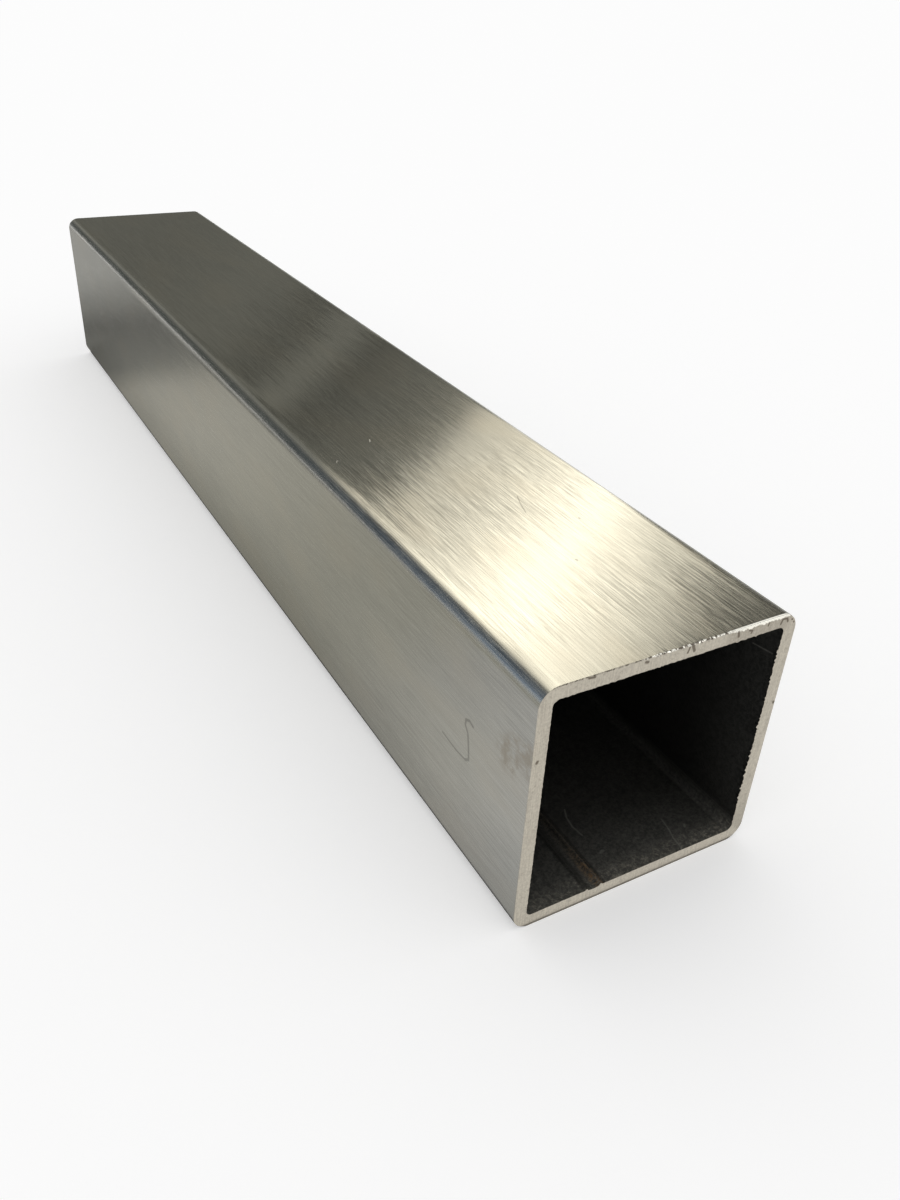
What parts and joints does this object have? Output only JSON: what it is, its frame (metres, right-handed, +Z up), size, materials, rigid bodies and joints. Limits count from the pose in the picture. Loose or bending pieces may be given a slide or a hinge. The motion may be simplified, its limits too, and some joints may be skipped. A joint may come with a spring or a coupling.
{
  "type": "square metal tube",
  "caption": "Short length of seam-welded stainless steel square tube with brushed faces, rounded edges and two plain sawn ends.",
  "frame": {"origin": "on the floor plane, below the middle of the tube's length and width", "axes": "+Y along the tube, away from the sawn end that the picture shows; +Z up; +X to the right seen from that end"},
  "size_m": [0.04, 0.25, 0.04],
  "materials": {
    "brushed_stainless": "brushed lengthwise, satin, sawn bare at the ends"
  },
  "bodies": {
    "root": {"square_tube": "brushed_stainless"}
  },
  "joints": []
}
